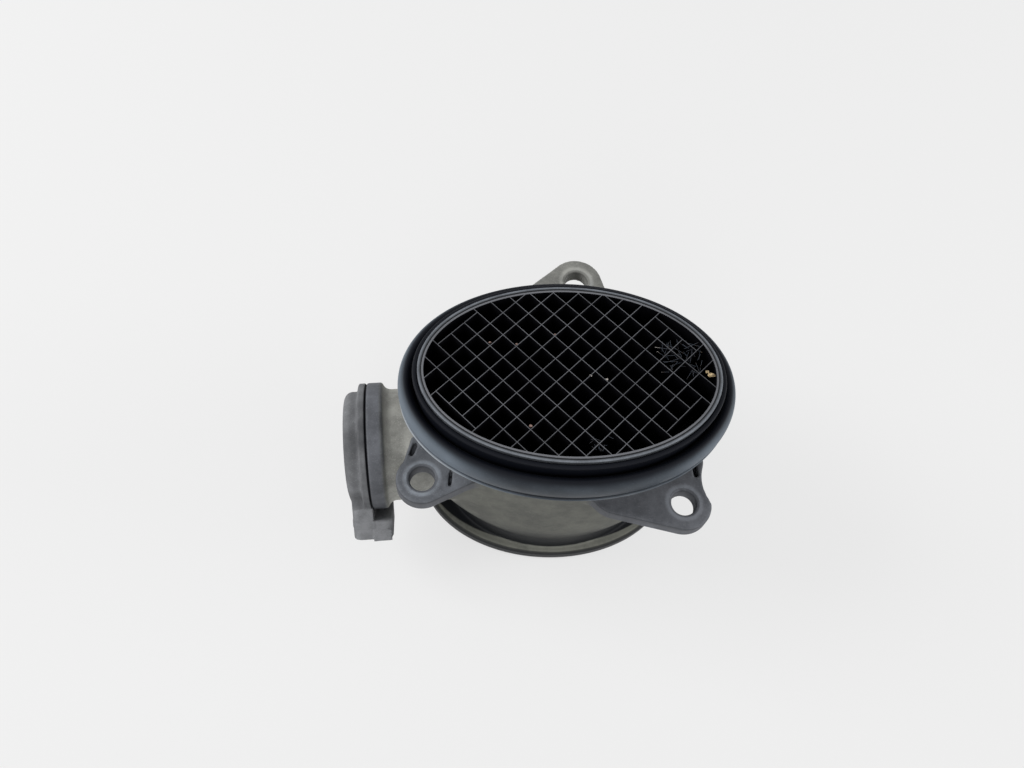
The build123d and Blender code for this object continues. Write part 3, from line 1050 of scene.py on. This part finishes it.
def housing_dust_and_shade(f, x, y, z, up, boss, flange, ear, ring_highlight):
    """How much dust lies on the housing, from 0 to 1, with painted shade and light in it."""
    # painted shade: the walls are darker towards the bottom, but not at the oval's ends
    ends = f.ramp(x * x, 26.0**2, 31.0**2) * f.ramp(z, rim_height - 1.0, rim_height + 0.2)
    wall_dust_and_low_shade = f.ramp(z + f.noise(60, 4) * 12.0, 13.0, 34.0).larger(ends)
    # painted shade: walls just below the seal are darker
    shade_under_seal = 1.0 - f.ramp(z, ear_top - 2.0, ear_top + 1.0) * (1.0 - up) * 0.7
    cover = up * 0.75 + (1.0 - up) * wall_dust_and_low_shade * 0.66 * shade_under_seal
    low_ledge = up * (1.0 - f.ramp(z, 7.0, 9.0))
    cover = cover + boss * 0.25 + ear * up * ring_highlight * 0.5 + low_ledge * 0.5

    # rubbed patches on the ears, painted shade on the flange, rim foot and passage, the dark seam
    # on the flange's sides these patches are painted shade; on the ears they are rubbed dust
    rubbed = f.ramp(f.noise(38, 3), 0.42, 0.6) * (flange * (1.0 - up) + ear * 0.4)
    seam = 1.0 - f.ramp(module_place(x, y, z)[0], joint - 0.35, joint - 0.15)
    # painted shade: the rim's outer side at its foot is darker
    rim_foot_shade = f.ramp(oval_square(x, y, rim), 0.935, 0.965) * (1.0 - f.ramp(z, 6.0, 8.0))
    # painted shade: inside the passage the plastic is left plain black
    outside = f.ramp(oval_square(x, y, inlet + 1.1), 0.98, 1.02)
    return cover * seam * (1.0 - rim_foot_shade * 0.85) * (1.0 - rubbed * 0.55) * outside


def housing_plastic():
    """Black plastic under dust, painted shade and painted light, whose amount and colour change by part."""
    f = Finish("housing_dust_and_painted_shade")
    x, y, z = f.millimetres()
    up = f.ramp(f.axis(f.normal, "Z"), 0.3, 0.9)
    boss, flange, collar_part, ear, ring_highlight = housing_parts(f, x, y, z)
    cover = housing_dust_and_shade(f, x, y, z, up, boss, flange, ear, ring_highlight)
    tint = f.mix(ear.larger(flange).larger(collar_part), olive, bluish)
    tint = f.mix(boss.larger(f.ramp(y, 32.0, 40.0)), tint, pale_olive)
    wear = f.ramp(f.noise(110, 5, 0.6), 0.35, 0.65)
    # painted light: the left ear and its screw ring are lighter, as if lit from the left
    left = 1.0 - f.ramp(x, -20.0, 0.0)
    ear_painted_light = ear * left * up * 0.35 + ear * ring_highlight * wear * (0.3 + left * 0.6)
    tint = f.mix(ear_painted_light.larger(collar_part * 0.7), tint, pale_blue)
    return dust_and_painted_light_over(f, black, tint, cover)


dress(housing_plastic(), housing)

# %% [markdown]
# ## Dusty case
# The module's plastic is a little bluer and more evenly dusty, and faces turned to the front are
# painted lighter as light. Fingers have rubbed its round part, its seam stays black, and it is
# darker towards the bottom. The same dust serves, with a simpler cover.


# %% Dusty case
def case_plastic():
    """The module's black plastic, evenly dusty, a little bluer than the housing; front faces painted
    lighter.
    """
    f = Finish("case_dust_and_painted_light")
    x, y, z = f.millimetres()
    up = f.ramp(f.axis(f.normal, "Z"), -0.4, 0.6)
    # painted light: faces turned to the front get a lighter colour, as if lit from there
    front = f.ramp(f.axis(f.normal, "Y") * -1.0, 0.2, 0.8)
    reach, away = module_place(x, y, z)
    round_part = 1.0 - f.ramp(away, flange_radius**2, (flange_radius + 0.5) ** 2)
    in_seam = (1.0 - f.ramp(reach, joint + 0.35, joint + 0.6)) * round_part
    rubbed = f.ramp(f.noise(34, 3), 0.42, 0.6) * round_part
    # the round part is darker towards the bottom
    low = 1.0 - f.ramp(z, module_height - 16.0, module_height + 6.0)
    rubbed_and_darker_low = 1.0 - rubbed * 0.45 - low * round_part * 0.25
    cover = (0.55 + up * 0.35 + front * 0.25) * (1.0 - in_seam) * rubbed_and_darker_low
    return dust_and_painted_light_over(f, (0.010, 0.011, 0.014), (0.25, 0.256, 0.268), cover)


dress(case_plastic(), case)

# %% [markdown]
# ## Rubber of the seal
# Old rubber sweats a pale bloom. It lies on the bulb's outer side; at the oval's ends, where the bulb
# faces left and right, it is thicker as a painted reflection, and the thin lip at its foot is a painted
# highlight. A gradient would look airbrushed, so clouds and wipe marks break the bloom up, and its
# share also makes the rubber duller.

# %% Rubber of the seal
rubber, bloom_and_reflection, lip_highlight = (0.0025, 0.0035, 0.007), (0.175, 0.21, 0.25), (0.4, 0.43, 0.46)


def seal_rubber():
    """Blue-black rubber with a bloom and a painted reflection on the bulb's outer side, and a painted
    highlight on the lip.
    """
    f = Finish("seal_rubber_bloom_and_reflection")
    x, y, z = f.millimetres()
    outer = f.ramp(oval_square(x, y, seal_high), 0.90, 1.0)
    side = f.axis(f.normal, "X")
    # painted reflection: faces turned to the left or right get more of the pale colour
    ends = f.ramp(side * side, 0.0, 0.3)
    # painted highlight: the thin lip at the bulb's foot is pale
    lip = 1.0 - f.ramp(z, foot + 0.5, foot + 1.1)
    cloud = f.ramp(f.noise(60, 6), 0.35, 0.7)
    wipe = f.ramp(f.noise(22, 3), 0.35, 0.65)
    speck = f.ramp(f.noise(2400, 2), 0.62, 0.7)
    rest = 1.0 - f.ramp(z, foot + 1.4, foot + 2.6)
    amount = outer * (1.0 - rest * 0.55) * (0.12 + wipe * 0.28 + ends * 0.42 + cloud * 0.2)
    amount = (amount + lip * (0.35 + cloud * 0.4) + speck * outer * 0.12).clamped()
    return f.surface(
        Base_Color=f.mix(lip * wipe, f.mix(amount, rubber, bloom_and_reflection), lip_highlight),
        Roughness=0.62 - outer * 0.22 + amount * 0.2,
        Specular_IOR_Level=0.16,
        Normal=f.bump(f.noise(900, 4), 0.00003),
    )


dress(seal_rubber(), seal)

# %% [markdown]
# ## Plastic of the grid
# The lattice is thin moulded bars, deep enough to straighten the air. Light only reaches the
# bars' upper edges, where dust has also settled, so those edges are pale and the walls are black.


# %% Plastic of the grid
def grid_plastic():
    """Black plastic whose upper edges carry an uneven line of dust, thicker on the frame."""
    f = Finish("grid_plastic_dusty")
    x, y, z = f.millimetres()
    edge = f.ramp(f.axis(f.normal, "Z"), 0.3, 0.9)
    near_top = f.ramp(z, top - 1.0, top - 0.2)
    cloud = f.ramp(f.noise(45, 5), 0.3, 0.7)
    frame_part = f.ramp(oval_square(x, y, inlet), 0.985, 1.0)
    amount = edge * near_top * (0.25 + cloud * 0.5 + f.noise(600, 3) * 0.35)
    amount = (amount + frame_part * edge * near_top * 0.35).smaller(1.0)
    return f.surface(
        Base_Color=f.mix(amount, (0.002, 0.002, 0.003), (0.17, 0.175, 0.19)),
        Roughness=0.7 + amount * 0.2,
        Specular_IOR_Level=0.05,
        Normal=f.bump(f.noise(3000, 3), 0.00003),
    )


dress(grid_plastic(), grid)

# %% [markdown]
# ## Colours of the dirt
# Crumbs and threads are one object, so one material colours them by where they lie: tan crumbs by
# the right rim, pinkish-brown flecks in the middle, blue-grey threads elsewhere. A material for
# each would do as well, but would have to be sorted face by face.

# %% Colours of the dirt
fleck, pale_fleck = (0.30, 0.20, 0.17), (0.62, 0.58, 0.54)
fibre, tan, dark = (0.035, 0.045, 0.062), (0.62, 0.47, 0.26), (0.05, 0.04, 0.035)


def caught_dirt():
    """Crumbs, flecks and threads told apart by their place, with dark spots in each."""
    f = Finish("grid_dirt_tan")
    x, y = f.millimetres("XY")
    cloud = f.noise(1500, 4)
    by_rim = f.ramp(x, 36.0, 36.6)
    of_fibre = f.ramp(x, 24.0, 25.0).larger(1.0 - f.ramp(y, -18.0, -17.0)) * (1.0 - by_rim)
    colour = f.mix(f.ramp(x, 1.0, 2.0), fleck, pale_fleck)
    colour = f.mix(of_fibre, colour, fibre)
    colour = f.mix(by_rim, colour, tan)
    return f.surface(
        Base_Color=f.mix(f.ramp(cloud, 0.45, 0.7), colour, dark),
        Roughness=0.8 + cloud * 0.1,
        Normal=f.bump(cloud, 0.00008),
    )


dress(caught_dirt(), dirt)

# %% [markdown]
# ## Small metal and electronic parts
# The terminals, leads, probe and board are CAD solids whose shape is already right, so they only
# need a finish. Two recipes serve them all: a metal with dull stains, and a plastic or laminate
# with a faint mottle.


# %% Small metal and electronic parts
def plain_metal(name, colour, stain):
    """Metal with fine wear and dull stains."""
    f = Finish(name)
    cloud = f.noise(500, 5)
    marks = f.noise(1500, 3, 0.6, (1.0, 1.0, 4.0))
    return f.surface(
        Base_Color=f.mix(f.ramp(cloud, 0.4, 0.75), colour, stain),
        Metallic=1.0,
        Roughness=0.25 + cloud * 0.25,
        Normal=f.bump(marks, 0.00002),
    )


def plain_plastic(name, colour, second, roughness):
    """Even plastic or laminate with a faint mottle."""
    f = Finish(name)
    cloud = f.noise(700, 5)
    return f.surface(
        Base_Color=f.mix(cloud, colour, second),
        Roughness=roughness + cloud * 0.15,
        Normal=f.bump(f.noise(4000, 3), 0.00003),
    )


terminals = [f"terminal_{n}" for n in range(1, 6)]
leads = [f"sensor_lead_{n}" for n in range(1, 5)]
dress(plain_metal("tinned_metal", (0.62, 0.61, 0.57), (0.42, 0.40, 0.36)), *terminals, *leads)
dress(plain_metal("can_aluminium", (0.7, 0.7, 0.71), (0.5, 0.5, 0.5)), "capacitor_1", "capacitor_2")

# name, two colours, roughness, then the nodes that get it
plastics = (
    ("probe_black", (0.012, 0.012, 0.013), (0.03, 0.03, 0.031), 0.45, "sensor_probe"),
    ("ring_rubber_black", (0.01, 0.01, 0.01), (0.02, 0.02, 0.02), 0.5, "probe_ring"),
    ("element_glaze", (0.60, 0.58, 0.50), (0.68, 0.67, 0.62), 0.2, "heater_element", "temperature_element"),
    ("board_green", (0.02, 0.10, 0.04), (0.03, 0.13, 0.05), 0.35, "circuit_board"),
    ("chip_black", (0.015, 0.015, 0.016), (0.025, 0.025, 0.025), 0.5, "signal_chip"),
)
for name, colour, second, roughness, *nodes in plastics:
    dress(plain_plastic(name, colour, second, roughness), *nodes)

# %% [markdown]
# ## Floor
# The sensor stands on a pale even table. More light on a white floor would bleach the object too,
# so what the camera and reflections see of the floor is mostly an even tone of its own, and only
# the rest is lit: shadows stay faint. Inside the outlet's rim the floor keeps dark.

# %% Floor
floor_tone = (0.87, 0.87, 0.87)
floor_glow = 0.78


def pale_floor():
    """A matt floor mixed with its own even tone, for rays that show it, outside the rim."""
    f = Finish("pale_floor")
    open_floor = f.ramp(oval_square(*f.millimetres("XY"), rim), 0.96, 1.0)
    matt = f.make("ShaderNodeBsdfDiffuse", None, {"Color": floor_tone})
    even = f.make("ShaderNodeEmission", None, {"Color": floor_tone, "Strength": 1.0})
    share = f.seen_ray() * open_floor * floor_glow
    return f.output(f.make("ShaderNodeMixShader", None, [share, matt, even]))


bpy.ops.mesh.primitive_plane_add(size=6, location=(0, 0, 0))
floor = bpy.context.object
floor.name = "floor"
dress(pale_floor(), floor)

# %% [markdown]
# ## Light from all round
# The light is soft and nearly without shadows, as in a tent of white cloth. The world gives it,
# with one strength for lighting and another for what the camera and reflections see.

# %% Light from all round
tent_strength = 0.42
backdrop_tone = (0.85, 0.85, 0.85)

world = bpy.data.worlds.new("tent")
bpy.context.scene.world = world
world.use_nodes = True
sky = Nodes(world.node_tree)
tent = sky.make("ShaderNodeBackground", None, {"Color": (1.0, 1.0, 1.0), "Strength": tent_strength})
backdrop = sky.make("ShaderNodeBackground", None, {"Color": backdrop_tone, "Strength": 1.0})
both = sky.make("ShaderNodeMixShader", None, [sky.seen_ray(), tent, backdrop])
sky.make("ShaderNodeOutputWorld", None, {"Surface": both})
print("the world has", len(world.node_tree.nodes), "nodes")

# %% [markdown]
# ## Lamps
# Three broad lamps give the forms a bright side: the strongest from the left, a lower one from
# the right and a weak one in front. Square area lamps keep the edges of the shadows soft.

# %% Lamps
lamp_target = Vector((0, 0, 0.04))


def panel(name, place, size, power):
    """A square soft lamp that looks at the object's middle; place is in metres."""
    lamp = bpy.data.lights.new(name, "AREA")
    lamp.shape = "SQUARE"
    lamp.size = size
    lamp.energy = power
    holder = bpy.data.objects.new(name, lamp)
    holder.location = place
    holder.rotation_euler = (lamp_target - Vector(place)).to_track_quat("-Z", "Y").to_euler()
    bpy.context.collection.objects.link(holder)
    print(name, power, "watts")


panel("left_panel", (-0.85, 0.2, 0.65), 0.5, 6.4)
panel("right_panel", (0.9, 0.0, 0.35), 0.4, 3.6)
panel("front_panel", (-0.2, -0.9, 0.7), 0.5, 2.6)

# %% [markdown]
# ## Camera
# The camera looks steeply down at the inlet from the front, close enough for the near side to
# look larger. It is rolled a little, which a tracking constraint can't do, so its three axes are
# worked out and put into its matrix.

# %% Camera
eye = Vector((-28.8, -112.6, 280.1)) * MM
aim = Vector((-13.6, 15.2, 37.5)) * MM
roll = radians(7.25)
forward = (aim - eye).normalized()
level_right = forward.cross(Vector((0, 0, 1))).normalized()
level_up = level_right.cross(forward)
right = level_right * cos(roll) + level_up * sin(roll)
up = right.cross(forward)
camera = bpy.data.objects.new("camera", bpy.data.cameras.new("camera"))
camera.data.lens = 30.88
camera.data.sensor_width = 36
camera.data.clip_start = 0.01
camera.matrix_world = Matrix((right, up, -forward)).transposed().to_4x4()
camera.location = eye
bpy.context.collection.objects.link(camera)
bpy.context.scene.camera = camera
print("camera", [round(v, 4) for v in eye])

# %% [markdown]
# ## View
# The Standard view shows the tones as they were worked out.

# %% Scene settings
bpy.context.scene.view_settings.view_transform = "Standard"

import json
